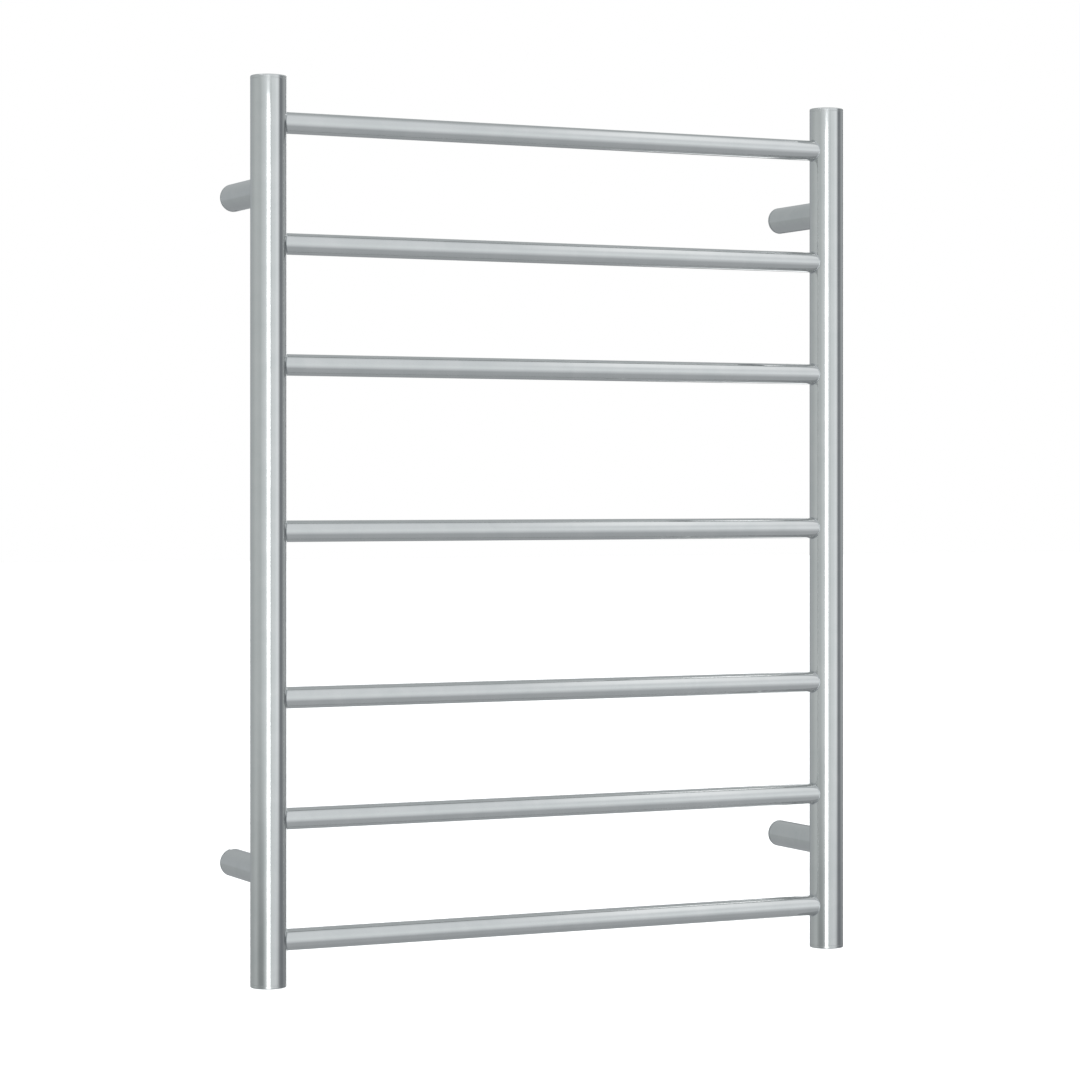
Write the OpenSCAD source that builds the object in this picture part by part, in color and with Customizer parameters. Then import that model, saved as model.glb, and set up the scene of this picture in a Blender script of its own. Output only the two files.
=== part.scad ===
// Wall-mounted electric ladder rail for warming towels, in millimetres.
// +Z is up, the front faces -Y, and the wall is the plane Y = 0.
// The origin is the middle of the four wall screws.

/* [Overall] */
// Width over the two posts
rail_w = 600; // [400:10:900]
// Height of the posts with their caps
rail_h = 800; // [640:10:1200]
// Distance from the wall to the axis of the posts
wall_gap = 90; // [70:1:120]

/* [Posts] */
// Outer diameter of a post
post_d = 32; // [26:0.1:42]
// Wall thickness of a post
post_wall = 1.5; // [1:0.1:2.5]

/* [Post caps] */
// Thickness of the disc that closes a post
cap_t = 3; // [2:0.5:6]
// Width of the chamfer round the outer edge of a cap
cap_chamfer = 0.6; // [0.2:0.1:1.5]
// Length of the cap's spigot inside the post
cap_spigot_l = 8; // [4:0.5:15]
// Radial clearance between a cap's spigot and the post's bore
cap_clear = 0.1; // [0.02:0.01:0.3]

/* [Bars] */
// Number of bars, the middle one set apart from a group above and one below
bar_count = 7; // [5:2:7]
// Outer diameter of a bar
bar_d = 19; // [15:0.1:23]
// Wall thickness of a bar
bar_wall = 1; // [0.8:0.1:1.6]
// Distance from the end of a post to the axis of the nearest bar
bar_margin = 40.5; // [30:0.5:50]
// Distance between the axes of neighbouring bars in a group
bar_pitch = 106.5; // [85:0.5:130]
// Radial clearance of a bar in its hole in the post
bar_clear = 0.05; // [0.02:0.01:0.2]
// How far the end of a bar stands past the inside of the post's wall
bar_seat = 0.45; // [0.2:0.05:2]

/* [Legs] */
// Outer diameter of a stand-off leg
leg_d = 25; // [20:0.1:26]
// Wall thickness of a leg
leg_wall = 1.5; // [1:0.1:2]
// Distance from the end of a post to the axis of its leg
leg_inset = 100; // [75:1:150]

/* [Wall bosses] */
// Thickness of the flange between the leg and the wall
flange_t = 3; // [2:0.5:6]
// Length of the spigot that the leg slides over
spigot_l = 18; // [14:0.5:24]
// Radial clearance between the spigot and the leg's bore
spigot_clear = 0.1; // [0.02:0.01:0.1]
// Diameter of the wall screw's hole
screw_hole_d = 4.5; // [3.5:0.1:5]
// Diameter of the counterbore for the screw's head
screw_head_d = 7.8; // [6:0.1:8.5]
// Thickness of boss left under the screw's head
screw_floor = 6; // [4:0.5:10]

/* [Grub screws] */
// Diameter of a grub screw
grub_d = 5; // [4:0.1:6]
// Length of a grub screw
grub_l = 5; // [4:0.5:6]
// Across flats of the hexagon socket
grub_hex = 2.5; // [2:0.5:3]
// Depth of the hexagon socket
grub_hex_l = 2.4; // [1.5:0.1:3]
// Radial clearance of a grub screw in its hole
grub_clear = 0.05; // [0.02:0.01:0.1]
// How far the screw's outer end lies inside the leg's surface
grub_recess = 0.3; // [0.3:0.05:0.6]
// Gap between the screw's tip and the flat on the spigot
grub_tip_gap = 0.05; // [0.02:0.01:0.2]

/* [Cable inlet] */
// Outer diameter of the bush that lines the inlet
bush_d = 6.6; // [6:0.1:7]
// Bore of the bush
bush_bore_d = 5.4; // [4.5:0.1:5.6]
// Clearance between the bush and its groove in the boss
bush_clear = 0.05; // [0.02:0.01:0.2]
// Distance from the bush to the outside of the spigot
bush_edge = 0.15; // [0.1:0.05:0.4]

/* [Heating cable] */
// Diameter of the heating cable
cable_d = 5; // [4:0.1:6]
// Bend radius of the cable at its centre line
cable_bend_r = 10; // [9:0.5:12]
// Distance from the last post's axis to the cut end of the cable
cable_end_gap = 44; // [35:1:80]
// Diameter of the moulded end seal
seal_d = 7.5; // [7:0.1:9]
// Length of the end seal
seal_l = 18; // [14:1:30]
// Length of cable inside the end seal
seal_grip_l = 9; // [6:1:12]

/* [Parts in the wired leg] */
// Diameter of the thermal cut-out
cutout_d = 9; // [8:0.1:10]
// Length of the thermal cut-out
cutout_l = 20; // [16:1:22]
// Distance from the wall to the near end of the splice
splice_y = 26; // [24:0.5:28]
// Diameter of the splice sleeve
splice_d = 8; // [7:0.1:9]
// Length of the splice sleeve
splice_l = 14; // [12:0.5:16]

/* [Earth bond] */
// Diameter of the earth lead over its insulation
earth_d = 2.4; // [2:0.1:2.8]
// Bend radius of the earth lead at its centre line
earth_bend_r = 4; // [3:0.5:5]
// Gap between the earth lead and the thermal cut-out
earth_gap = 0.8; // [0.5:0.1:1.2]
// Distance from the post's axis to the earth lead
earth_off = 8; // [7:0.1:8.6]
// Diameter of the earth stud
stud_d = 4; // [3:0.5:4]
// Length of the earth stud
stud_l = 10; // [8:0.5:16]
// Radial clearance of the lug and the nut on the stud
stud_clear = 0.1; // [0.05:0.01:0.2]
// Diameter of the lug's ring
lug_d = 8; // [7:0.1:8.6]
// Thickness of the lug's ring
lug_t = 0.8; // [0.6:0.1:1.2]
// Outer diameter of the lug's crimped barrel
barrel_d = 3.8; // [3.4:0.1:4.4]
// Height of the lug's crimped barrel
barrel_h = 7; // [5:0.5:9]
// Across flats of the earth nut
nut_af = 7; // [6:0.5:7.5]
// Height of the earth nut
nut_h = 3.2; // [2.4:0.1:4]

/* [Hidden] */
$fn = 64;
SIDES = [["left", -1], ["right", 1]];
ENDS = [["bottom", -1], ["top", 1]];
CORNERS = [for (e = ENDS, s = SIDES) str(e[0], "_", s[0])];
BARS = [for (i = [1:bar_count]) str("bar_", i)];

// Overrun of a cutting solid past the face that it cuts
cut = 1;

// Posts
post_r = post_d / 2;
post_bore_r = post_r - post_wall;
post_x = rail_w / 2 - post_r;
post_y = -wall_gap;
tube_h = rail_h - 2 * cap_t;

// Bars, from the bottom up
bar_r = bar_d / 2;
bar_end_x = post_x - sqrt(pow(post_bore_r, 2) - pow(bar_r, 2)) + bar_seat;
bar_group = (bar_count - 1) / 2;
function bar_low(i) = bar_margin + i * bar_pitch - rail_h / 2;
BAR_Z = [for (i = [0:bar_count - 1])
    i < bar_group ? bar_low(i) : i > bar_group ? -bar_low(bar_count - 1 - i) : 0];

// Legs and wall bosses
leg_r = leg_d / 2;
leg_bore_r = leg_r - leg_wall;
leg_z = rail_h / 2 - leg_inset;
spigot_r = leg_bore_r - spigot_clear;
spigot_end_y = -(flange_t + spigot_l);
grub_y = -(flange_t + spigot_l / 2);
grub_out = leg_r - grub_recess;
flat_h = grub_out - grub_l - grub_tip_gap;
bush_h = spigot_r - bush_d / 2 - bush_edge;
groove_w = bush_d + 2 * bush_clear;

// Cable, from the wired leg at the bottom left
wired_x = -post_x;
wired_z = -leg_z;
cutout_y = splice_y + splice_l;
cable_start_y = cutout_y + cutout_l;
cable_run_x = post_x - cable_bend_r;
cable_end_x = post_x - cable_end_gap;
earth_drop = (cutout_d + earth_d) / 2 + earth_gap;
cable_hole_r = earth_drop + earth_d / 2 + earth_gap;
cap_inner_z = cap_t + cap_spigot_l - rail_h / 2;
lug_z = cap_inner_z;

steel = "#c5c9cc";
boss_steel = "#a9adb0";
dark_steel = "#5f6266";
silicone = "#8c2f24";
grey_plastic = "#77797c";
tinned = "#b9b7ae";
earth_green = "#5c9a3c";

// A cylinder of height h that starts at the origin and runs along the given side of an axis
module along_x(side, r, h) {
    rotate([0, side * 90, 0])
        cylinder(r = r, h = h);
}

module along_y(side, r, h) {
    rotate([-side * 90, 0, 0])
        cylinder(r = r, h = h);
}

// A quarter of a ring about the origin in the XY plane, from start degrees onwards
module quarter_ring(bend_r, d, start) {
    rotate([0, 0, start])
        rotate_extrude(angle = 90)
            translate([bend_r, 0])
                circle(d = d, $fn = 32);
}

// A post tube with a hole for each bar on its inner side
module post(side) {
    color(steel)
        translate([side * post_x, post_y, 0])
            difference() {
                translate([0, 0, -tube_h / 2])
                    cylinder(r = post_r, h = tube_h);
                translate([0, 0, -tube_h / 2 - cut])
                    cylinder(r = post_bore_r, h = tube_h + 2 * cut);
                for (z = BAR_Z)
                    translate([0, 0, z])
                        along_x(-side, bar_r + bar_clear, post_r + cut);
                if (side < 0)
                    translate([0, 0, wired_z])
                        along_y(1, cable_hole_r, post_r + cut);
            }
}

module bar(z) {
    color(steel)
        translate([-bar_end_x, post_y, z])
            difference() {
                along_x(1, bar_r, 2 * bar_end_x);
                translate([-cut, 0, 0])
                    along_x(1, bar_r - bar_wall, 2 * (bar_end_x + cut));
            }
}

// A disc with a chamfered rim and a spigot, closing the post's end
module cap(side, end) {
    spigot_top = cap_t + cap_spigot_l;
    spigot_out = post_bore_r - cap_clear;
    color(steel)
        translate([side * post_x, post_y, end * rail_h / 2])
            rotate([end > 0 ? 180 : 0, 0, 0])
                rotate_extrude()
                    polygon([
                        [0, 0],
                        [post_r - cap_chamfer, 0],
                        [post_r, cap_chamfer],
                        [post_r, cap_t],
                        [spigot_out, cap_t],
                        [spigot_out, spigot_top],
                        [0, spigot_top]
                    ]);
}

// A stand-off tube coped to the back of the post, with a hole below for its grub screw
module leg(side, end) {
    color(steel)
        translate([side * post_x, 0, end * leg_z])
            difference() {
                translate([0, -flange_t, 0])
                    along_y(-1, leg_r, wall_gap - flange_t);
                translate([0, cut, 0])
                    along_y(-1, leg_bore_r, wall_gap + 2 * cut);
                translate([0, post_y, -leg_d])
                    cylinder(r = post_r, h = 2 * leg_d);
                translate([0, grub_y, -leg_r - cut])
                    cylinder(r = grub_d / 2 + grub_clear, h = leg_wall + 2 * cut);
            }
}

// The groove that the cable bush lies in, open to the top of the boss
module bush_groove() {
    groove_l = flange_t + spigot_l + 2 * cut;
    translate([0, cut, bush_h])
        along_y(-1, groove_w / 2, groove_l);
    translate([-groove_w / 2, cut - groove_l, bush_h])
        cube([groove_w, groove_l, leg_r]);
}

// A flange against the wall and a spigot for the leg, with a flat for the grub screw's tip
module boss(side, end) {
    color(boss_steel)
        translate([side * post_x, 0, end * leg_z])
            difference() {
                union() {
                    along_y(-1, leg_r, flange_t);
                    translate([0, -flange_t, 0])
                        along_y(-1, spigot_r, spigot_l);
                }
                translate([0, cut, 0])
                    along_y(-1, screw_hole_d / 2, flange_t + spigot_l);
                translate([0, -screw_floor, 0])
                    along_y(-1, screw_head_d / 2, spigot_l);
                translate([-leg_r, spigot_end_y - cut, -leg_r - flat_h])
                    cube([leg_d, spigot_l + cut, leg_r]);
                if (side < 0 && end < 0)
                    bush_groove();
            }
}

// A grub screw pointing up from the underside of the leg, with its socket below
module grub(side, end) {
    color(dark_steel)
        translate([side * post_x, grub_y, end * leg_z - grub_out])
            difference() {
                cylinder(d = grub_d, h = grub_l);
                translate([0, 0, -cut])
                    cylinder(d = grub_hex / cos(30), h = grub_hex_l + cut, $fn = 6);
            }
}

module cable_bush() {
    color(grey_plastic)
        translate([wired_x, 0, wired_z + bush_h])
            difference() {
                along_y(-1, bush_d / 2, flange_t + spigot_l);
                translate([0, cut, 0])
                    along_y(-1, bush_bore_d / 2, flange_t + spigot_l + 2 * cut);
            }
}

// The cable's bend in a post, where it turns between a bar and the run to the next one
module post_bend(side, z, way) {
    start = side > 0 ? (way > 0 ? 270 : 0) : (way > 0 ? 180 : 90);
    translate([side * cable_run_x, post_y, z + way * cable_bend_r])
        rotate([90, 0, 0])
            quarter_ring(cable_bend_r, cable_d, start);
}

// One length of cable through the leg, down to the first bar and on through every bar in turn
module heating_cable() {
    color(silicone) {
        translate([wired_x, -cable_start_y, wired_z])
            along_y(-1, cable_d / 2, wall_gap - cable_bend_r - cable_start_y);
        translate([wired_x, post_y + cable_bend_r, wired_z - cable_bend_r])
            rotate([90, 0, 90])
                quarter_ring(cable_bend_r, cable_d, 90);
        translate([wired_x, post_y, BAR_Z[0] + cable_bend_r])
            cylinder(d = cable_d, h = wired_z - BAR_Z[0] - 2 * cable_bend_r);
        post_bend(-1, BAR_Z[0], 1);
        for (i = [0:bar_count - 1]) {
            run_end = i < bar_count - 1 ? cable_run_x : cable_end_x;
            translate([-cable_run_x, post_y, BAR_Z[i]])
                along_x(1, cable_d / 2, cable_run_x + run_end);
        }
        for (i = [0:bar_count - 2]) {
            side = i % 2 == 0 ? 1 : -1;
            post_bend(side, BAR_Z[i], 1);
            translate([side * post_x, post_y, BAR_Z[i] + cable_bend_r])
                cylinder(d = cable_d, h = BAR_Z[i + 1] - BAR_Z[i] - 2 * cable_bend_r);
            post_bend(side, BAR_Z[i + 1], -1);
        }
    }
}

module end_seal() {
    color(dark_steel)
        translate([cable_end_x - seal_grip_l, post_y, BAR_Z[bar_count - 1]])
            difference() {
                along_x(1, seal_d / 2, seal_l);
                translate([-cut, 0, 0])
                    along_x(1, cable_d / 2, seal_grip_l + cut);
            }
}

module thermal_cutout() {
    color(tinned)
        translate([wired_x, -cutout_y, wired_z])
            along_y(-1, cutout_d / 2, cutout_l);
}

module splice_sleeve() {
    color(grey_plastic)
        translate([wired_x, -splice_y, wired_z])
            along_y(-1, splice_d / 2, splice_l);
}

// The earth lead runs under the cable in the leg, then down the post to the lug's barrel
module earth_lead() {
    turn_y = earth_off + earth_bend_r - wall_gap;
    lead_z = wired_z - earth_drop;
    drop_end_z = lug_z + lug_t + earth_d;
    color(earth_green) {
        translate([wired_x, -splice_y, lead_z])
            along_y(-1, earth_d / 2, -turn_y - splice_y);
        translate([wired_x, turn_y, lead_z - earth_bend_r])
            rotate([90, 0, 90])
                quarter_ring(earth_bend_r, earth_d, 90);
        translate([wired_x, post_y + earth_off, drop_end_z])
            cylinder(d = earth_d, h = lead_z - earth_bend_r - drop_end_z);
    }
}

// A threaded stud welded to the inside of the bottom left cap
module earth_stud() {
    color(boss_steel)
        translate([wired_x, post_y, cap_inner_z])
            cylinder(d = stud_d, h = stud_l);
}

// A ring on the stud, a tongue and an upright barrel crimped on the earth lead
module earth_lug() {
    color(tinned)
        translate([wired_x, post_y, lug_z])
            difference() {
                union() {
                    cylinder(d = lug_d, h = lug_t);
                    translate([-barrel_d / 4, 0, 0])
                        cube([barrel_d / 2, earth_off, lug_t]);
                    translate([0, earth_off, 0])
                        cylinder(d = barrel_d, h = barrel_h);
                }
                translate([0, 0, -cut])
                    cylinder(r = stud_d / 2 + stud_clear, h = lug_t + 2 * cut);
                translate([0, earth_off, lug_t + earth_d])
                    cylinder(d = earth_d, h = barrel_h);
            }
}

module earth_nut() {
    color(boss_steel)
        translate([wired_x, post_y, lug_z + lug_t])
            difference() {
                cylinder(d = nut_af / cos(30), h = nut_h, $fn = 6);
                translate([0, 0, -cut])
                    cylinder(r = stud_d / 2 + stud_clear, h = nut_h + 2 * cut);
            }
}

post(-1);  // left_post
post(1);  // right_post
for (i = [0:bar_count - 1])
    bar(BAR_Z[i]);
for (e = ENDS, s = SIDES) {
    cap(s[1], e[1]);
    leg(s[1], e[1]);
    boss(s[1], e[1]);
    grub(s[1], e[1]);
}
cable_bush();
heating_cable();
end_seal();
thermal_cutout();
splice_sleeve();
earth_lead();
earth_stud();
earth_lug();
earth_nut();
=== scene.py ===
"""A wall-mounted ladder rail for warming towels, in polished stainless tube."""
import math

import bpy
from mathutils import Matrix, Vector


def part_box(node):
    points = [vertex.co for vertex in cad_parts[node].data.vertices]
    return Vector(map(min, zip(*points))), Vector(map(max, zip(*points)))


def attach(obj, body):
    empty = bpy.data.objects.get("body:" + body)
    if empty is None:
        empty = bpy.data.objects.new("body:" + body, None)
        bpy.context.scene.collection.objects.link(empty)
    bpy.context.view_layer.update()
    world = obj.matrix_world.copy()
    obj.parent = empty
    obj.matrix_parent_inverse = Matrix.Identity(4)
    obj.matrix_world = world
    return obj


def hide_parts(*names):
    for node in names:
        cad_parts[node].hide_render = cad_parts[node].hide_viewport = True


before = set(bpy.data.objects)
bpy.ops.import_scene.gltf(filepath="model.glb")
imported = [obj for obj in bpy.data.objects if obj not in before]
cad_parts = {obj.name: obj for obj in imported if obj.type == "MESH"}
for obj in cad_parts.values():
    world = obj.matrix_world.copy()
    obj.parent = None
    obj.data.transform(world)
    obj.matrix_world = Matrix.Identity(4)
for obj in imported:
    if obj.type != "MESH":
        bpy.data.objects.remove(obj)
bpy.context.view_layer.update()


# ---------------------------------------------------------------------------------------
# Posts. Two lengths of 32 mm stainless tube with a 1.5 mm wall, cut square and drilled on
# the inner side for the seven bars. The left one has one more hole, at the back, where the
# heating cable comes in from the wired leg.
# ---------------------------------------------------------------------------------------
MM = 0.001
X, Y, Z = Vector((1, 0, 0)), Vector((0, 1, 0)), Vector((0, 0, 1))
TUBE_SIDES, HOLE_SIDES = 128, 64
NEAR, MERGE_GAP = 0.01 * MM, 0.002 * MM
ACROSS, ALONG = 0.1, 0.9
POST_WALL = 1.5 * MM
SAWN_EDGE = 0.15 * MM
SLIP_FIT = 0.05 * MM
CABLE_HOLE_R = 8.5 * MM
bars_cad = [f"bar_{count}" for count in range(1, 8)]


def middle(cad_node):
    low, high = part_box(cad_node)
    return (Vector(low) + Vector(high)) / 2


def extent(cad_node):
    low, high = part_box(cad_node)
    return Vector(high) - Vector(low)


def select(piece):
    """Leaves one piece selected and active, in object mode."""
    if bpy.context.mode != "OBJECT":
        bpy.ops.object.mode_set(mode="OBJECT")
    bpy.ops.object.select_all(action="DESELECT")
    if piece:
        piece.select_set(True)
        bpy.context.view_layer.objects.active = piece


def settle(piece):
    """Moves a piece's place into its mesh, so that the object sits at the origin."""
    select(piece)
    bpy.ops.object.transform_apply(location=True, rotation=True, scale=True)
    return piece


def rod(name, radius, length, start, way, sides=TUBE_SIDES):
    """A solid round bar that starts at a point and runs one way."""
    select(None)
    bpy.ops.mesh.primitive_cylinder_add(
        vertices=sides,
        radius=radius,
        depth=length,
        end_fill_type="NGON",
        location=start + way * length / 2,
        rotation=way.to_track_quat("Z", "Y").to_euler(),
    )
    piece = bpy.context.object
    piece.name = name
    piece.data.name = name
    return settle(piece)


def edit_faces(piece, wanted):
    """Opens a piece for editing, with the faces selected whose centre and normal suit."""
    select(piece)
    bpy.ops.object.mode_set(mode="EDIT")
    bpy.ops.mesh.select_mode(type="FACE")
    bpy.ops.mesh.select_all(action="DESELECT")
    bpy.ops.object.mode_set(mode="OBJECT")
    for face in piece.data.polygons:
        face.select = wanted(face.center, face.normal)
    bpy.ops.object.mode_set(mode="EDIT")


def edit_edges(piece, wanted):
    """Opens a piece for editing, with the edges selected whose middle and way suit."""
    select(piece)
    bpy.ops.object.mode_set(mode="EDIT")
    bpy.ops.mesh.select_mode(type="EDGE")
    bpy.ops.mesh.select_all(action="DESELECT")
    bpy.ops.object.mode_set(mode="OBJECT")
    points = piece.data.vertices
    for edge in piece.data.edges:
        first, last = (points[index].co for index in edge.vertices)
        edge.select = wanted((first + last) / 2, (last - first).normalized())
    bpy.ops.object.mode_set(mode="EDIT")


def close(piece):
    bpy.ops.object.mode_set(mode="OBJECT")
    return piece


def tube(name, radius, wall, length, start, way):
    """A length of tube, bored through, with its sawn edges broken."""
    piece = rod(name, radius, length, start, way)
    edit_faces(piece, lambda at, out: abs(out.dot(way)) > ALONG)
    bpy.ops.mesh.inset(thickness=wall)
    bpy.ops.mesh.bridge_edge_loops()
    close(piece)

    def sawn_edge(at, along):
        """True for an edge that runs round the axis at either end."""
        depth = (at - start).dot(way)
        at_an_end = min(abs(depth), abs(depth - length)) < NEAR
        out = (at - start - way * depth).normalized()
        return at_an_end and abs(along.dot(way)) < ACROSS and abs(along.dot(out)) < ACROSS

    edit_edges(piece, sawn_edge)
    bpy.ops.mesh.bevel(offset=SAWN_EDGE, segments=2)
    return close(piece)


def ring_cut(piece, at, way):
    """Cuts a ring of edges round a tube, so that a hole stays clear of its long faces."""
    edit_faces(piece, lambda centre, out: True)
    bpy.ops.mesh.bisect(plane_co=at, plane_no=way)
    return close(piece)


def cut_away(piece, cutter):
    """Cuts one piece's shape out of another, and merges the points that this doubles."""
    select(piece)
    cut = piece.modifiers.new("cut", "BOOLEAN")
    cut.object = cutter
    cut.operation = "DIFFERENCE"
    cut.solver = "EXACT"
    bpy.ops.object.modifier_apply(modifier=cut.name)
    bpy.data.objects.remove(cutter)
    edit_faces(piece, lambda at, out: True)
    bpy.ops.mesh.remove_doubles(threshold=MERGE_GAP)
    close(piece)


def drill(piece, radius, at, way, tube_radius, along):
    """Drills out from a point on a tube's axis, through one wall, between rings of edges."""
    past_hole, past_wall = 1.15, 1.2
    for side in (-past_hole, past_hole):
        ring_cut(piece, at + along * side * radius, along)
    cut_away(piece, rod("drill", radius, tube_radius * past_wall, at, way, HOLE_SIDES))


def smooth(piece, angle=40):
    """Shades a piece smooth up to a corner angle, with its flat faces kept flat."""
    select(piece)
    bpy.ops.object.shade_smooth_by_angle(angle=math.radians(angle))
    weighted = piece.modifiers.new("weighted", "WEIGHTED_NORMAL")
    weighted.keep_sharp = True
    bpy.ops.object.modifier_apply(modifier=weighted.name)


def smooth_round(piece, on_axis, way):
    """Shades a drilled tube as a true cylinder, with no dents round its holes."""
    on_the_round = 0.998
    smooth(piece)
    mesh = piece.data
    normals = [corner.vector.copy() for corner in mesh.corner_normals]
    for face in mesh.polygons:
        out = face.center - on_axis
        out = (out - way * out.dot(way)).normalized()
        facing = face.normal.dot(out)
        if abs(facing) < on_the_round:
            continue
        for loop in face.loop_indices:
            out = mesh.vertices[mesh.loops[loop].vertex_index].co - on_axis
            out = (out - way * out.dot(way)).normalized()
            normals[loop] = out if facing > 0 else -out
    mesh.normals_split_custom_set(normals)


def copy_of(piece, name, move=(0, 0, 0), half_turn=None):
    """Copies a piece with its own mesh. It may be given half a turn about an axis."""
    select(piece)
    bpy.ops.object.duplicate(linked=False)
    twin = bpy.context.object
    twin.name = name
    twin.data.name = name
    if half_turn:
        axis, centre = half_turn
        bpy.ops.transform.rotate(value=math.pi, orient_axis=axis, center_override=centre)
    bpy.ops.transform.translate(value=move)
    return settle(twin)


def fit(piece, body, slot, *replaced):
    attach(piece, body)
    if replaced:
        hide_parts(*replaced)


def linear(hex_colour):
    """An sRGB hex colour as the linear colour that a shader socket takes."""
    parts = [int(hex_colour[start : start + 2], 16) / 255 for start in (1, 3, 5)]
    curve = [c / 12.92 if c <= 0.04045 else ((c + 0.055) / 1.055) ** 2.4 for c in parts]
    return (*curve, 1.0)


def node(tree, kind, settings=None, **inputs):
    """Adds a node with its settings, and sets or links its inputs.

    An input is named with underscores for its spaces, or as at_ and its number.
    """
    added = tree.nodes.new(kind)
    for key, value in (settings or {}).items():
        setattr(added, key, value)
    for key, value in inputs.items():
        by_number = key.startswith("at_")
        socket = added.inputs[int(key[3:]) if by_number else key.replace("_", " ")]
        if isinstance(value, bpy.types.NodeSocket):
            tree.links.new(value, socket)
        else:
            socket.default_value = value
    return added


def new_material(name):
    material = bpy.data.materials.new(name)
    material.use_nodes = True
    material.node_tree.nodes.clear()
    return material


def paint(piece, material):
    piece.data.materials.clear()
    piece.data.materials.append(material)


def polished_stainless(name, along, roughness=0.075):
    """304 stainless tube, belted along its length and buffed bright: a cool grey mirror.

    Its fine lines spread what it mirrors round the tube more than along it. The real lines
    are about 0.05 mm apart, and are drawn at 0.5 mm so that they show.
    """
    material = new_material(name)
    tree = material.node_tree
    place = node(tree, "ShaderNodeTexCoord").outputs["Object"]
    line_gap, line_length, smear_size, wave_size = 0.5 * MM, 45 * MM, 22 * MM, 90 * MM
    stretch = [1 / line_gap] * 3
    stretch["XYZ".index(along)] = 1 / line_length
    lines_at = node(tree, "ShaderNodeMapping", Vector=place, Scale=stretch)
    lines = node(
        tree, "ShaderNodeTexNoise", Vector=lines_at.outputs[0], Scale=1.0, Detail=3.0
    )
    smears = node(
        tree, "ShaderNodeTexNoise", Vector=place, Scale=1 / smear_size, Detail=4.0, Distortion=0.6
    )
    waves = node(tree, "ShaderNodeTexNoise", Vector=place, Scale=1 / wave_size, Detail=1.0)
    haze = node(
        tree,
        "ShaderNodeMapRange",
        Value=smears.outputs["Fac"],
        From_Min=0.3,
        From_Max=0.7,
        To_Min=roughness * 0.8,
        To_Max=roughness * 1.3,
    )
    sheen = node(
        tree,
        "ShaderNodeMath",
        {"operation": "MULTIPLY_ADD"},
        at_0=lines.outputs["Fac"],
        at_1=roughness * 0.3,
        at_2=haze.outputs[0],
    )
    tint = node(tree, "ShaderNodeValToRGB", Fac=smears.outputs["Fac"])
    tint.color_ramp.elements[0].position = 0.3
    tint.color_ramp.elements[0].color = linear("#d0d2d2")
    tint.color_ramp.elements[1].position = 0.7
    tint.color_ramp.elements[1].color = linear("#d6d7d7")
    sway = node(
        tree, "ShaderNodeBump", Strength=1.0, Distance=0.03 * MM, Height=waves.outputs["Fac"]
    )
    grain = node(
        tree,
        "ShaderNodeBump",
        Strength=1.0,
        Distance=0.001 * MM,
        Height=lines.outputs["Fac"],
        Normal=sway.outputs[0],
    )
    round_tube = node(tree, "ShaderNodeTangent", {"direction_type": "RADIAL", "axis": along})
    metal = node(
        tree,
        "ShaderNodeBsdfPrincipled",
        Base_Color=tint.outputs[0],
        Metallic=1.0,
        Roughness=sheen.outputs[0],
        Anisotropic=0.85,
        Normal=grain.outputs[0],
        Tangent=round_tube.outputs[0],
    )
    node(tree, "ShaderNodeOutputMaterial", Surface=metal.outputs[0])
    return material


post_radius = extent("right_post").x / 2
bar_radius = extent("bar_1").z / 2
post_y = middle("right_post").y
post_length = extent("right_post").z
post_foot = middle("right_post") - Z * post_length / 2
across_the_rail = (0, post_y, 0)

post_right = tube("post_right", post_radius, POST_WALL, post_length, post_foot, Z)
for bar in bars_cad:
    seat = Vector((post_foot.x, post_y, middle(bar).z))
    drill(post_right, bar_radius + SLIP_FIT, seat, -X, post_radius, Z)
post_left = copy_of(post_right, "post_left", half_turn=("Z", across_the_rail))
cable_way = Vector((-post_foot.x, post_y, middle("leg_bottom_left").z))
drill(post_left, CABLE_HOLE_R, cable_way, Y, post_radius, Z)

upright_stainless = polished_stainless("polished_304_stainless_upright", "Z")
for post, cad_node in ((post_left, "left_post"), (post_right, "right_post")):
    smooth_round(post, middle(cad_node), Z)
    paint(post, upright_stainless)
    fit(post, "rail", "stainless_tube", cad_node)


# ---------------------------------------------------------------------------------------
# Bars. Seven lengths of 19 mm stainless tube with a 1 mm wall, which end just inside the
# posts. They are polished along their length as the posts are, so their bands run level.
# ---------------------------------------------------------------------------------------
BAR_WALL = 1 * MM
level_stainless = polished_stainless("polished_304_stainless_level", "X")
bar_start = middle("bar_1") - X * extent("bar_1").x / 2
first_bar = tube("rail_bar_1", bar_radius, BAR_WALL, extent("bar_1").x, bar_start, X)
smooth(first_bar)
for bar in bars_cad:
    rise = middle(bar) - middle("bar_1")
    piece = copy_of(first_bar, f"rail_{bar}", move=rise) if bar != "bar_1" else first_bar
    paint(piece, level_stainless)
    fit(piece, "rail", "stainless_tube", bar)


# ---------------------------------------------------------------------------------------
# Legs. Four short lengths of 25 mm stainless tube, coped to the backs of the posts, which
# hold the rail off the wall. Each is drilled and tapped underneath for its grub screw.
# ---------------------------------------------------------------------------------------
LEG_WALL = 1.5 * MM
corners = ("top_right", "top_left", "bottom_right", "bottom_left")
leg_radius = extent("leg_top_right").z / 2
leg_length = extent("leg_top_right").y
leg_axis = middle("leg_top_right")
leg_foot = leg_axis + Y * leg_length / 2
first_leg = tube("leg_tube_top_right", leg_radius, LEG_WALL, leg_length, leg_foot, -Y)
cope_foot = Vector((leg_axis.x, post_y, leg_axis.z - leg_radius * 2))
cut_away(first_leg, rod("cope", post_radius, leg_radius * 4, cope_foot, Z))
screw_axis = middle("grub_top_right")
screw_radius = extent("grub_top_right").x / 2
over_screw = Vector((screw_axis.x, screw_axis.y, leg_axis.z))
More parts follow.
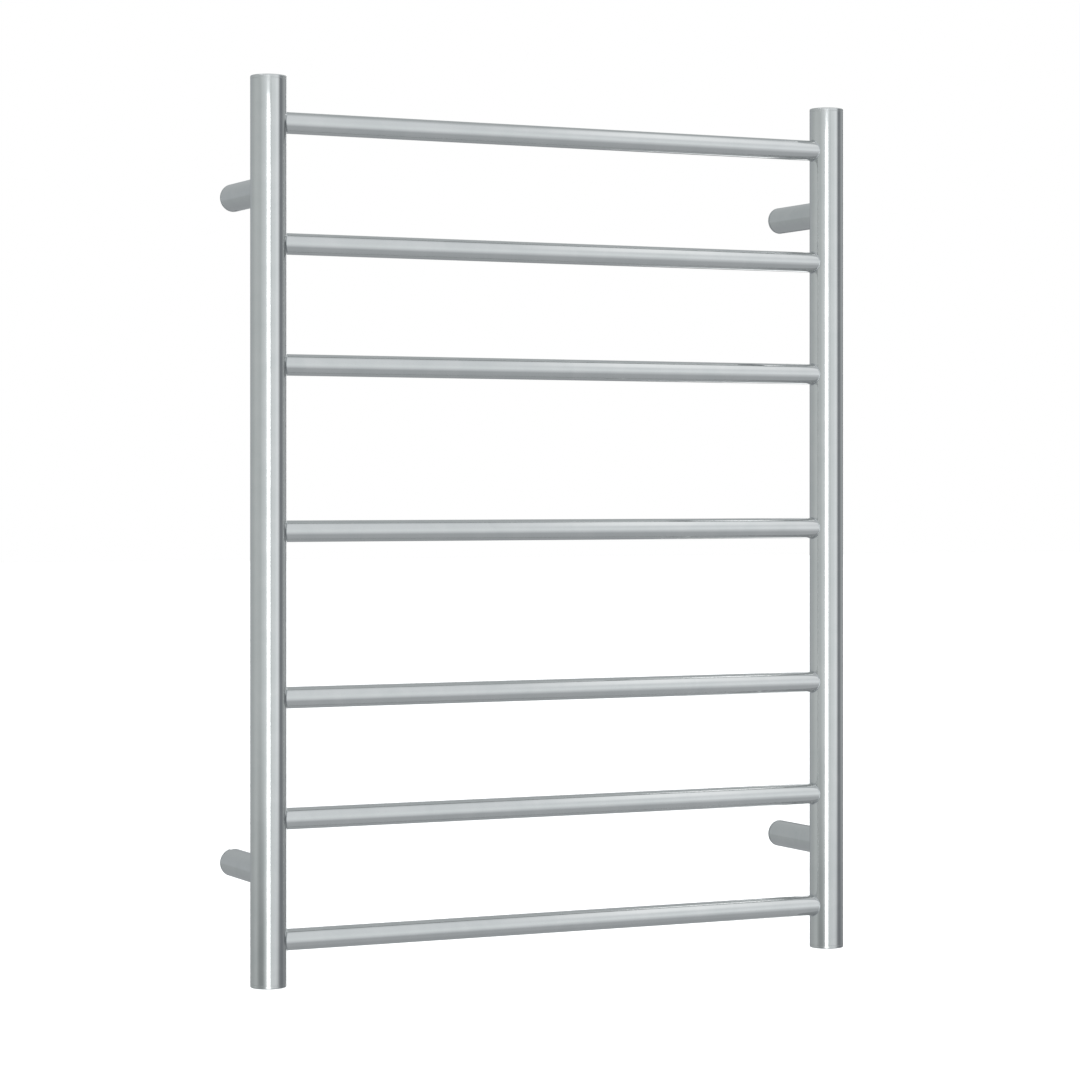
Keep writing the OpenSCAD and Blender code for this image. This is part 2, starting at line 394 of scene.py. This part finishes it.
drill(first_leg, screw_radius + SLIP_FIT, over_screw, -Z, leg_radius, Y)

leg_stainless = polished_stainless("polished_304_stainless_leg", "Y")
for corner in corners:
    step = middle(f"leg_{corner}") - leg_axis
    leg = copy_of(first_leg, f"leg_tube_{corner}", move=step) if step.length else first_leg
    smooth_round(leg, middle(f"leg_{corner}"), Y)
    paint(leg, leg_stainless)
    fit(leg, "rail", "stainless_tube", f"leg_{corner}")


# ---------------------------------------------------------------------------------------
# Welds. Each bar and leg is TIG welded to its post all round, and the bead is ground to a
# small hollow fillet and buffed, a little duller than the tubes on each side of it.
# ---------------------------------------------------------------------------------------
FILLET_R = 1.1 * MM
FILLET_STEPS, ROOT_POINTS = 6, 2
RING_POINTS = FILLET_STEPS + 1 + ROOT_POINTS
ROOT_DEPTH = 0.4 * MM


def fillet_point(step, turn, joint, out, radius):
    """A point of the hollow that a ball leaves when it rolls along the joint's corner.

    The first steps run over the hollow, from the tube to the post. The last two are the
    root, which lies in the metal and closes the ring.
    """
    across = Z.cross(out)
    reach = post_radius + FILLET_R
    aside = (radius + FILLET_R) * math.cos(turn)
    rise = (radius + FILLET_R) * math.sin(turn)
    from_post = out * math.sqrt(reach**2 - aside**2) + across * aside
    ball = joint + from_post + Z * rise
    off_tube = across * math.cos(turn) + Z * math.sin(turn)
    off_post = from_post.normalized()
    if step > FILLET_STEPS:
        nearest = off_post if step == FILLET_STEPS + 1 else off_tube
        return ball - nearest * (FILLET_R + ROOT_DEPTH)
    spread = off_tube.angle(off_post)
    share = step / FILLET_STEPS
    mixed = off_tube * math.sin((1 - share) * spread) + off_post * math.sin(share * spread)
    return ball - mixed.normalized() * FILLET_R


def fillet_weld(name, joint, out, radius):
    """A ring whose points are laid along the corner, which no flat ring can follow."""
    select(None)
    bpy.ops.mesh.primitive_torus_add(
        location=joint,
        major_segments=TUBE_SIDES,
        minor_segments=RING_POINTS,
        major_radius=radius,
        minor_radius=FILLET_R,
    )
    piece = bpy.context.object
    piece.name = name
    piece.data.name = name
    settle(piece)
    for index, point in enumerate(piece.data.vertices):
        ring, step = divmod(index, RING_POINTS)
        point.co = fillet_point(step, 2 * math.pi * ring / TUBE_SIDES, joint, out, radius)
    edit_faces(piece, lambda at, normal: True)
    bpy.ops.mesh.normals_make_consistent(inside=False)
    close(piece)
    select(piece)
    bpy.ops.object.shade_smooth_by_angle(angle=math.radians(60))
    return piece


def ground_weld(name):
    """304 weld metal, ground and mop buffed: the steel's grey, with a satin haze on it.

    The mop leaves it a little darker than the tube, with a fine speckle, drawn at 0.6 mm.
    """
    material = new_material(name)
    tree = material.node_tree
    place = node(tree, "ShaderNodeTexCoord").outputs["Object"]
    speckle_size = 0.6 * MM
    speckle = node(
        tree, "ShaderNodeTexNoise", Vector=place, Scale=1 / speckle_size, Detail=3.0, Roughness=0.6
    )
    tint = node(tree, "ShaderNodeValToRGB", Fac=speckle.outputs["Fac"])
    tint.color_ramp.elements[0].position = 0.3
    tint.color_ramp.elements[0].color = linear("#b3b6b8")
    tint.color_ramp.elements[1].position = 0.7
    tint.color_ramp.elements[1].color = linear("#c3c6c8")
    sheen = node(
        tree, "ShaderNodeMapRange", Value=speckle.outputs["Fac"], To_Min=0.22, To_Max=0.34
    )
    pits = node(
        tree, "ShaderNodeBump", Strength=1.0, Distance=0.004 * MM, Height=speckle.outputs["Fac"]
    )
    metal = node(
        tree,
        "ShaderNodeBsdfPrincipled",
        Base_Color=tint.outputs[0],
        Metallic=1.0,
        Roughness=sheen.outputs[0],
        Normal=pits.outputs[0],
    )
    node(tree, "ShaderNodeOutputMaterial", Surface=metal.outputs[0])
    return material


weld_metal = ground_weld("ground_304_weld")
right_joint = Vector((post_foot.x, post_y, middle("bar_1").z))
bar_weld = fillet_weld("weld_bar_1_right", right_joint, -X, bar_radius)
bar_welds = [bar_weld, copy_of(bar_weld, "weld_bar_1_left", half_turn=("Z", across_the_rail))]
for side, lowest_weld in zip(("right", "left"), bar_welds[:2]):
    for bar in bars_cad[1:]:
        rise = middle(bar) - middle("bar_1")
        bar_welds.append(copy_of(lowest_weld, f"weld_{bar}_{side}", move=rise))

leg_joint = Vector((leg_axis.x, post_y, leg_axis.z))
leg_weld = fillet_weld("weld_leg_top_right", leg_joint, Y, leg_radius)
leg_welds = [leg_weld]
for corner in corners[1:]:
    step = middle(f"leg_{corner}") - leg_axis
    leg_welds.append(copy_of(leg_weld, f"weld_leg_{corner}", move=step))
for weld in bar_welds + leg_welds:
    paint(weld, weld_metal)
    fit(weld, "rail", "stainless_tube")


# ---------------------------------------------------------------------------------------
# Post caps. Four turned stainless discs with a rounded rim, and a spigot that is pressed
# into the post's bore. They are polished over with the post, and leave a hair line.
# ---------------------------------------------------------------------------------------
CAP_T = 3 * MM
CAP_ROUND = 0.9 * MM
SPIGOT_LEAD = 0.5 * MM
PRESS_FIT = 0.1 * MM
cap_top = middle("cap_top_right") + Z * extent("cap_top_right").z / 2
first_cap = rod("end_cap_top_right", post_radius, CAP_T, cap_top, -Z)
edit_faces(first_cap, lambda at, out: out.z < -ALONG)
bpy.ops.mesh.inset(thickness=POST_WALL + PRESS_FIT)
bpy.ops.mesh.extrude_region_move(
    TRANSFORM_OT_translate={"value": -Z * (extent("cap_top_right").z - CAP_T)}
)
close(first_cap)
edit_edges(first_cap, lambda at, along: at.z > cap_top.z - NEAR)
bpy.ops.mesh.bevel(offset=CAP_ROUND, segments=5)
close(first_cap)


def under_the_rim(at, along):
    outermost = (at - cap_top).xy.length > post_radius - PRESS_FIT
    return outermost and abs(at.z - cap_top.z + CAP_T) < NEAR


edit_edges(first_cap, under_the_rim)
bpy.ops.mesh.bevel(offset=SAWN_EDGE, segments=1)
close(first_cap)
spigot_end_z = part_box("cap_top_right")[0][2]
edit_edges(first_cap, lambda at, along: at.z < spigot_end_z + NEAR)
bpy.ops.mesh.bevel(offset=SPIGOT_LEAD, segments=1)
close(first_cap)
smooth(first_cap, angle=30)

cap_stainless = polished_stainless("polished_304_stainless_cap", "Z", roughness=0.14)
for corner in corners:
    cap = first_cap
    if corner != "top_right":
        over = ("X", across_the_rail) if corner.startswith("bottom") else None
        shift = X * (middle(f"cap_{corner}") - middle("cap_top_right")).x
        cap = copy_of(first_cap, f"end_cap_{corner}", move=shift, half_turn=over)
    paint(cap, cap_stainless)
    fit(cap, "rail", "stainless_cap", f"cap_{corner}")


# ---------------------------------------------------------------------------------------
# Wall bosses. Four turned stainless bosses, each counterbored for a screw that holds it to
# the wall. The leg slides over the spigot, up to the flange. A flat underneath takes the
# grub screw, and the bottom left boss has a groove for the supply flex.
# ---------------------------------------------------------------------------------------
FLANGE_T = 3 * MM
SPIGOT_FIT = 0.1 * MM
SCREW_HOLE_R = 2.25 * MM
SCREW_HEAD_R = 3.9 * MM
SCREW_SEAT = 6 * MM
FLAT_GAP = 0.05 * MM
BROKEN_EDGE = 0.2 * MM


def box_cutter(low, high):
    select(None)
    bpy.ops.mesh.primitive_cube_add(size=1, location=(low + high) / 2, scale=high - low)
    return settle(bpy.context.object)


def turned_stainless(name, colours, roughness):
    """304 stainless as it leaves the lathe: a soft grey shine with fine feed marks.

    The marks are 0.1 mm apart on the real part, and are drawn as a 0.4 mm speckle.
    """
    material = new_material(name)
    tree = material.node_tree
    place = node(tree, "ShaderNodeTexCoord").outputs["Object"]
    mark_size, smear_size = 0.4 * MM, 9 * MM
    marks = node(
        tree, "ShaderNodeTexNoise", Vector=place, Scale=1 / mark_size, Detail=3.0, Roughness=0.7
    )
    smears = node(tree, "ShaderNodeTexNoise", Vector=place, Scale=1 / smear_size, Detail=2.0)
    tint = node(tree, "ShaderNodeValToRGB", Fac=marks.outputs["Fac"])
    tint.color_ramp.elements[0].position = 0.3
    tint.color_ramp.elements[0].color = linear(colours[0])
    tint.color_ramp.elements[1].position = 0.7
    tint.color_ramp.elements[1].color = linear(colours[1])
    sheen = node(
        tree,
        "ShaderNodeMapRange",
        Value=smears.outputs["Fac"],
        From_Min=0.3,
        From_Max=0.7,
        To_Min=roughness * 0.8,
        To_Max=roughness * 1.2,
    )
    relief = node(
        tree, "ShaderNodeBump", Strength=1.0, Distance=0.003 * MM, Height=marks.outputs["Fac"]
    )
    metal = node(
        tree,
        "ShaderNodeBsdfPrincipled",
        Base_Color=tint.outputs[0],
        Metallic=1.0,
        Roughness=sheen.outputs[0],
        Normal=relief.outputs[0],
    )
    node(tree, "ShaderNodeOutputMaterial", Surface=metal.outputs[0])
    return material


def break_edges(piece, width):
    """Bevels every corner of a piece that turns by more than an angle."""
    sharp = math.radians(50)
    select(piece)
    bevel = piece.modifiers.new("broken_edges", "BEVEL")
    bevel.width = width
    bevel.segments = 2
    bevel.limit_method = "ANGLE"
    bevel.angle_limit = sharp
    bpy.ops.object.modifier_apply(modifier=bevel.name)


boss_length = extent("boss_top_right").y
past_boss = boss_length * 2
wall_point = leg_axis.copy()
wall_point.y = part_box("boss_top_right")[1][1]
first_boss = rod("wall_boss_top_right", leg_radius, FLANGE_T, wall_point, -Y)
edit_faces(first_boss, lambda at, out: out.y < -ALONG)
bpy.ops.mesh.inset(thickness=LEG_WALL + SPIGOT_FIT)
bpy.ops.mesh.extrude_region_move(
    TRANSFORM_OT_translate={"value": -Y * (boss_length - FLANGE_T)}
)
close(first_boss)
break_edges(first_boss, BROKEN_EDGE)
cut_away(first_boss, rod("bore", SCREW_HOLE_R, past_boss, wall_point + Y * MM, -Y, HOLE_SIDES))
seat_floor = wall_point - Y * SCREW_SEAT
cut_away(first_boss, rod("seat", SCREW_HEAD_R, boss_length, seat_floor, -Y, HOLE_SIDES))
flat_low = wall_point + Vector((-leg_radius, -past_boss, -leg_radius * 2))
flat_high = wall_point - Y * FLANGE_T + X * leg_radius
flat_high.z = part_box("grub_top_right")[1][2] + FLAT_GAP
cut_away(first_boss, box_cutter(flat_low, flat_high))

boss_colours = ("#b6b9ba", "#c4c6c7")
boss_stainless = turned_stainless("turned_304_stainless", boss_colours, roughness=0.26)
bosses = {"top_right": first_boss}
for corner in corners[1:]:
    step = middle(f"leg_{corner}") - leg_axis
    bosses[corner] = copy_of(first_boss, f"wall_boss_{corner}", move=step)

flex_axis = middle("cable_bush")
flex_radius = extent("cable_bush").x / 2 + SLIP_FIT
groove_start = Vector((flex_axis.x, MM, flex_axis.z))
groove = rod("groove", flex_radius, past_boss, groove_start, -Y, HOLE_SIDES)
cut_away(bosses["bottom_left"], groove)
open_low = Vector((flex_axis.x - flex_radius, -past_boss, flex_axis.z))
open_high = Vector((flex_axis.x + flex_radius, MM, flex_axis.z + leg_radius))
cut_away(bosses["bottom_left"], box_cutter(open_low, open_high))
for corner, boss in bosses.items():
    smooth(boss, angle=30)
    paint(boss, boss_stainless)
    fit(boss, "wall_fittings", "boss_steel", f"boss_{corner}")


# ---------------------------------------------------------------------------------------
# Grub screws. Four M5 stainless set screws with a hexagon socket, turned up from below
# until they lock each leg to its boss.
# ---------------------------------------------------------------------------------------
SOCKET_FLATS = 2.5 * MM
SOCKET_DEPTH = 2.4 * MM
GRUB_CHAMFER = 0.4 * MM
grub_length = extent("grub_top_right").z
grub_foot = screw_axis - Z * grub_length / 2
first_grub = rod("set_screw_top_right", screw_radius, grub_length, grub_foot, Z, HOLE_SIDES)
break_edges(first_grub, GRUB_CHAMFER)
socket_radius = SOCKET_FLATS / math.sqrt(3)
socket = rod("socket", socket_radius, SOCKET_DEPTH + MM, grub_foot - Z * MM, Z, sides=6)
cut_away(first_grub, socket)
smooth(first_grub, angle=30)
grub_colours = ("#7d7f81", "#929496")
grub_stainless = turned_stainless("a2_stainless_set_screw", grub_colours, roughness=0.34)
for corner in corners:
    step = middle(f"grub_{corner}") - screw_axis
    grub = copy_of(first_grub, f"set_screw_{corner}", move=step) if step.length else first_grub
    paint(grub, grub_stainless)
    fit(grub, f"screw_{corner}", "grub_steel", f"grub_{corner}")


# ---------------------------------------------------------------------------------------
# Electrics. The silicone heating cable runs from the wired leg through the left post and
# to and fro through the bars. A thermal cut-out and a shrunk splice join it to the supply
# flex, and an earth lead is nutted to the bottom cap. All of it is inside the tubes.
# ---------------------------------------------------------------------------------------
def skin(name, colours, roughness, grain_size, depth, metallic=0.0):
    """A moulded, shrunk, drawn or tinned skin: two tones and its own fine grain."""
    material = new_material(name)
    tree = material.node_tree
    place = node(tree, "ShaderNodeTexCoord").outputs["Object"]
    grain = node(
        tree, "ShaderNodeTexNoise", Vector=place, Scale=1 / grain_size, Detail=4.0, Roughness=0.6
    )
    tint = node(tree, "ShaderNodeValToRGB", Fac=grain.outputs["Fac"])
    tint.color_ramp.elements[0].position = 0.35
    tint.color_ramp.elements[0].color = linear(colours[0])
    tint.color_ramp.elements[1].position = 0.65
    tint.color_ramp.elements[1].color = linear(colours[1])
    sheen = node(
        tree,
        "ShaderNodeMapRange",
        Value=grain.outputs["Fac"],
        To_Min=roughness * 0.85,
        To_Max=roughness * 1.15,
    )
    relief = node(
        tree, "ShaderNodeBump", Strength=1.0, Distance=depth, Height=grain.outputs["Fac"]
    )
    surface = node(
        tree,
        "ShaderNodeBsdfPrincipled",
        Base_Color=tint.outputs[0],
        Metallic=metallic,
        Roughness=sheen.outputs[0],
        Normal=relief.outputs[0],
    )
    node(tree, "ShaderNodeOutputMaterial", Surface=surface.outputs[0])
    return material


# Extruded silicone is a dull brick red with a faint drag. Moulded rubber is matt and near
# black, and shrunk sleeve shinier and rippled. The earth lead is green and yellow PVC.
silicone = skin("extruded_silicone", ("#7d2318", "#8f2c1f"), 0.5, 0.8 * MM, 0.02 * MM)
rubber = skin("moulded_epdm_rubber", ("#2b2c2d", "#36373a"), 0.6, 0.5 * MM, 0.02 * MM)
sleeve = skin("shrunk_polyolefin", ("#1d1e1f", "#27282a"), 0.42, 1.5 * MM, 0.05 * MM)
earth_pvc = skin("green_yellow_pvc", ("#4f8f2a", "#c9b92e"), 0.45, 6 * MM, 0.01 * MM)
can = skin("drawn_aluminium", ("#b4b4ae", "#c0c0bb"), 0.32, 0.6 * MM, 0.005 * MM, 1.0)
tin = skin("tinned_copper", ("#a9a69b", "#b8b6ad"), 0.36, 0.5 * MM, 0.01 * MM, 1.0)
kept_as_packed = {
    "heating_cable": silicone,
    "end_seal": rubber,
    "cable_bush": rubber,
    "splice_sleeve": sleeve,
    "thermal_cutout": can,
    "earth_lead": earth_pvc,
    "earth_lug": tin,
    "earth_stud": boss_stainless,
    "earth_nut": boss_stainless,
}
for cad_node, material in kept_as_packed.items():
    paint(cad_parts[cad_node], material)


# ---------------------------------------------------------------------------------------
# Studio. A pale floor well below the rail, and a room of soft grey cards that the steel
# mirrors. A tall softbox just behind the camera draws a bright line down each post.
# ---------------------------------------------------------------------------------------
FLOOR_Z, FLOOR_SIZE = -0.75, 60
select(None)
bpy.ops.mesh.primitive_plane_add(size=FLOOR_SIZE, location=(0, 0, FLOOR_Z))
floor = bpy.context.object
floor.name = "floor"
settle(floor)
floor.visible_glossy = False
floor_paint = new_material("pale_floor_paint")
tree = floor_paint.node_tree
matt = node(tree, "ShaderNodeBsdfPrincipled", Base_Color=linear("#f6f6f6"), Roughness=0.9)
node(tree, "ShaderNodeOutputMaterial", Surface=matt.outputs[0])
paint(floor, floor_paint)

# The grey that polished steel shows of the room in each direction, in degrees round from
# +X: at the level of the rail, and just below it, where the floor starts. The room itself
# is lighter than that, by the share of light that the steel gives back.
STEEL_SHINE = 0.65
LEVEL_CARDS = (
    (-180, "#a7abab"),
    (-166, "#a5a9a9"),
    (-158, "#a9adad"),
    (-150, "#b4b8b8"),
    (-140, "#b8bcbd"),
    (-130, "#c2c6c7"),
    (-120, "#cbcfd0"),
    (-104, "#cacecf"),
    (-97, "#b3b7b8"),
    (-91, "#bdc1c2"),
    (-85, "#c4c8c9"),
    (-75, "#c4c8c9"),
    (-65, "#cacecf"),
    (-53, "#d2d5d7"),
    (-45, "#c2c5c7"),
    (-40, "#a1a4a6"),
    (-33, "#75787b"),
    (-27, "#696c6f"),
    (-18, "#707376"),
    (-9, "#808385"),
    (2, "#8f9293"),
    (16, "#999c9d"),
    (28, "#65686b"),
    (58, "#696c6e"),
    (68, "#8a8d8f"),
    (88, "#8c8f91"),
    (112, "#989c9e"),
    (135, "#9ca0a0"),
    (150, "#a4a8a8"),
    (165, "#a9adad"),
    (180, "#a7abab"),
)
LOW_CARDS = (
    (-180, "#8d9191"),
    (-168, "#7b7f7f"),
    (-150, "#7c8080"),
    (-143, "#878b8b"),
    (-136, "#9da1a1"),
    (-128, "#b7bbbb"),
    (-120, "#c7cbcc"),
    (-97, "#bbbfc0"),
    (-66, "#c0c3c5"),
    (-52, "#b1b4b6"),
    (-46, "#9fa2a4"),
    (-41, "#898c8e"),
    (-34, "#74777a"),
    (-22, "#6a6d70"),
    (-8, "#6c6f72"),
    (10, "#828587"),
    (28, "#5c5f61"),
    (58, "#606365"),
    (68, "#828587"),
    (88, "#838688"),
    (108, "#8f9394"),
    (135, "#949898"),
    (155, "#9da1a1"),
    (168, "#9fa3a3"),
    (180, "#8d9191"),
)
SKY_FRONT, SKY_BACK, SKYLIGHT = "#c5c8ca", "#9a9e9f", "#e0e2e3"
GROUND_FRONT, GROUND_BACK = "#979a9c", "#8e9193"


def card(hex_colour):
    return [part / STEEL_SHINE for part in linear(hex_colour)[:3]] + [1.0]


studio = bpy.data.worlds.new("studio")
bpy.context.scene.world = studio
studio.use_nodes = True
tree = studio.node_tree
tree.nodes.clear()
way = node(tree, "ShaderNodeTexCoord").outputs["Generated"]
east, north, height = node(tree, "ShaderNodeSeparateXYZ", Vector=way).outputs
round_room = node(tree, "ShaderNodeMath", {"operation": "ARCTAN2"}, at_0=north, at_1=east)
round_share = node(
    tree, "ShaderNodeMapRange", Value=round_room.outputs[0], From_Min=-math.pi, From_Max=math.pi
)
rings = []
for cards in (LEVEL_CARDS, LOW_CARDS):
    ring = node(tree, "ShaderNodeValToRGB", Fac=round_share.outputs[0])
    stops = ring.color_ramp.elements
    stops[0].color = card(cards[0][1])
    stops[1].color = card(cards[-1][1])
    for degrees, grey in cards[1:-1]:
        stops.new((degrees + 180) / 360).color = card(grey)
    rings.append(ring.outputs[0])
level_ring, low_ring = rings
colour_mix = {"data_type": "RGBA"}
to_back = node(tree, "ShaderNodeMapRange", Value=north, From_Min=-0.35, From_Max=0.3)
plain_sky = node(
    tree,
    "ShaderNodeMix",
    colour_mix,
    at_0=to_back.outputs[0],
    at_6=card(SKY_FRONT),
    at_7=card(SKY_BACK),
)
skylight_edges = (
    (east, 0.42, 0.46),
    (east, 0.54, 0.465),
    (height, 0.45, 0.7),
    (north, 0.35, -0.15),
)
skylight_share = 1.0
for axis, outside, inside in skylight_edges:
    edge = node(tree, "ShaderNodeMapRange", Value=axis, From_Min=outside, From_Max=inside)
    product = node(
        tree,
        "ShaderNodeMath",
        {"operation": "MULTIPLY"},
        at_0=skylight_share,
        at_1=edge.outputs[0],
    )
    skylight_share = product.outputs[0]
sky = node(
    tree,
    "ShaderNodeMix",
    colour_mix,
    at_0=skylight_share,
    at_6=plain_sky.outputs[2],
    at_7=card(SKYLIGHT),
)
ground_share = node(tree, "ShaderNodeMapRange", Value=north, From_Min=-0.42, From_Max=0.0)
ground = node(
    tree,
    "ShaderNodeMix",
    colour_mix,
    at_0=ground_share.outputs[0],
    at_6=card(GROUND_FRONT),
    at_7=card(GROUND_BACK),
)
low_share = node(tree, "ShaderNodeMapRange", Value=height, From_Min=-0.148, From_Max=-0.07)
walls = node(
    tree, "ShaderNodeMix", colour_mix, at_0=low_share.outputs[0], at_6=low_ring, at_7=level_ring
)
ground_up = node(tree, "ShaderNodeMapRange", Value=height, From_Min=-0.6, From_Max=-0.24)
lower = node(
    tree,
    "ShaderNodeMix",
    colour_mix,
    at_0=ground_up.outputs[0],
    at_6=ground.outputs[2],
    at_7=walls.outputs[2],
)
sky_share = node(tree, "ShaderNodeMapRange", Value=height, From_Min=0.14, From_Max=0.42)
room = node(
    tree,
    "ShaderNodeMix",
    colour_mix,
    at_0=sky_share.outputs[0],
    at_6=lower.outputs[2],
    at_7=sky.outputs[2],
)
seen = node(tree, "ShaderNodeLightPath").outputs["Is Camera Ray"]
backdrop = node(
    tree,
    "ShaderNodeMix",
    colour_mix,
    at_0=seen,
    at_6=room.outputs[2],
    at_7=linear("#ffffff"),
)
glow = node(tree, "ShaderNodeBackground", Color=backdrop.outputs[2], Strength=1.0)
node(tree, "ShaderNodeOutputWorld", Surface=glow.outputs[0])

CAMERA_AT = Vector((-1.2798, -2.7133, 0.0372))
CAMERA_YAW = math.radians(25.661)
sight = Vector((math.sin(CAMERA_YAW), math.cos(CAMERA_YAW), 0))
rightward = Vector((math.cos(CAMERA_YAW), -math.sin(CAMERA_YAW), 0))


def softbox(name, at, aim, size, power):
    """A rectangular lamp that the camera never sees, but that the steel mirrors."""
    select(None)
    bpy.ops.object.light_add(
        type="AREA", location=at, rotation=(at - aim).to_track_quat("Z", "Y").to_euler()
    )
    lamp = bpy.context.object
    lamp.name = name
    lamp.data.shape = "RECTANGLE"
    lamp.data.size, lamp.data.size_y = size
    lamp.data.energy = power
    lamp.visible_camera = False


KEY_TOP, KEY_HEIGHT, KEY_WIDTH = 0.742, 4.6, 1.0
KEY_BEHIND, KEY_ASIDE = 0.15, 0.08
key_at = CAMERA_AT - sight * KEY_BEHIND + rightward * KEY_ASIDE
key_at.z = KEY_TOP - KEY_HEIGHT / 2
level_with_key = Vector((0, post_y, key_at.z))
softbox("key_softbox", key_at, level_with_key, size=(KEY_WIDTH, KEY_HEIGHT), power=30)
rear_at = Vector((2.26, 2.26, -0.4))
level_with_rear = Vector((0, 0, rear_at.z))
softbox("rear_softbox", rear_at, level_with_rear, size=(0.8, 4.2), power=13)
rail_middle = Vector((0, 0, 0))
softbox("left_overhead", Vector((-2.0, -0.3, 2.4)), rail_middle, size=(0.7, 1.4), power=4)
softbox("right_overhead", Vector((2.3, 0.5, 2.4)), rail_middle, size=(0.6, 1.4), power=3.5)
bpy.ops.object.light_add(type="SUN", location=(0, 0, 4), rotation=(0, 0, 0))
floor_fill = bpy.context.object
floor_fill.name = "floor_fill"
floor_fill.data.energy = 2.4
floor_fill.data.angle = math.radians(60)
floor_fill.visible_camera = False
floor_fill.visible_glossy = False

bpy.ops.object.camera_add(location=CAMERA_AT, rotation=(math.pi / 2, 0, -CAMERA_YAW))
camera = bpy.context.object
camera.data.sensor_width = 36
camera.data.lens = 106.14
camera.data.shift_y = -0.0472
bpy.context.scene.camera = camera
bpy.context.scene.view_settings.view_transform = "Standard"
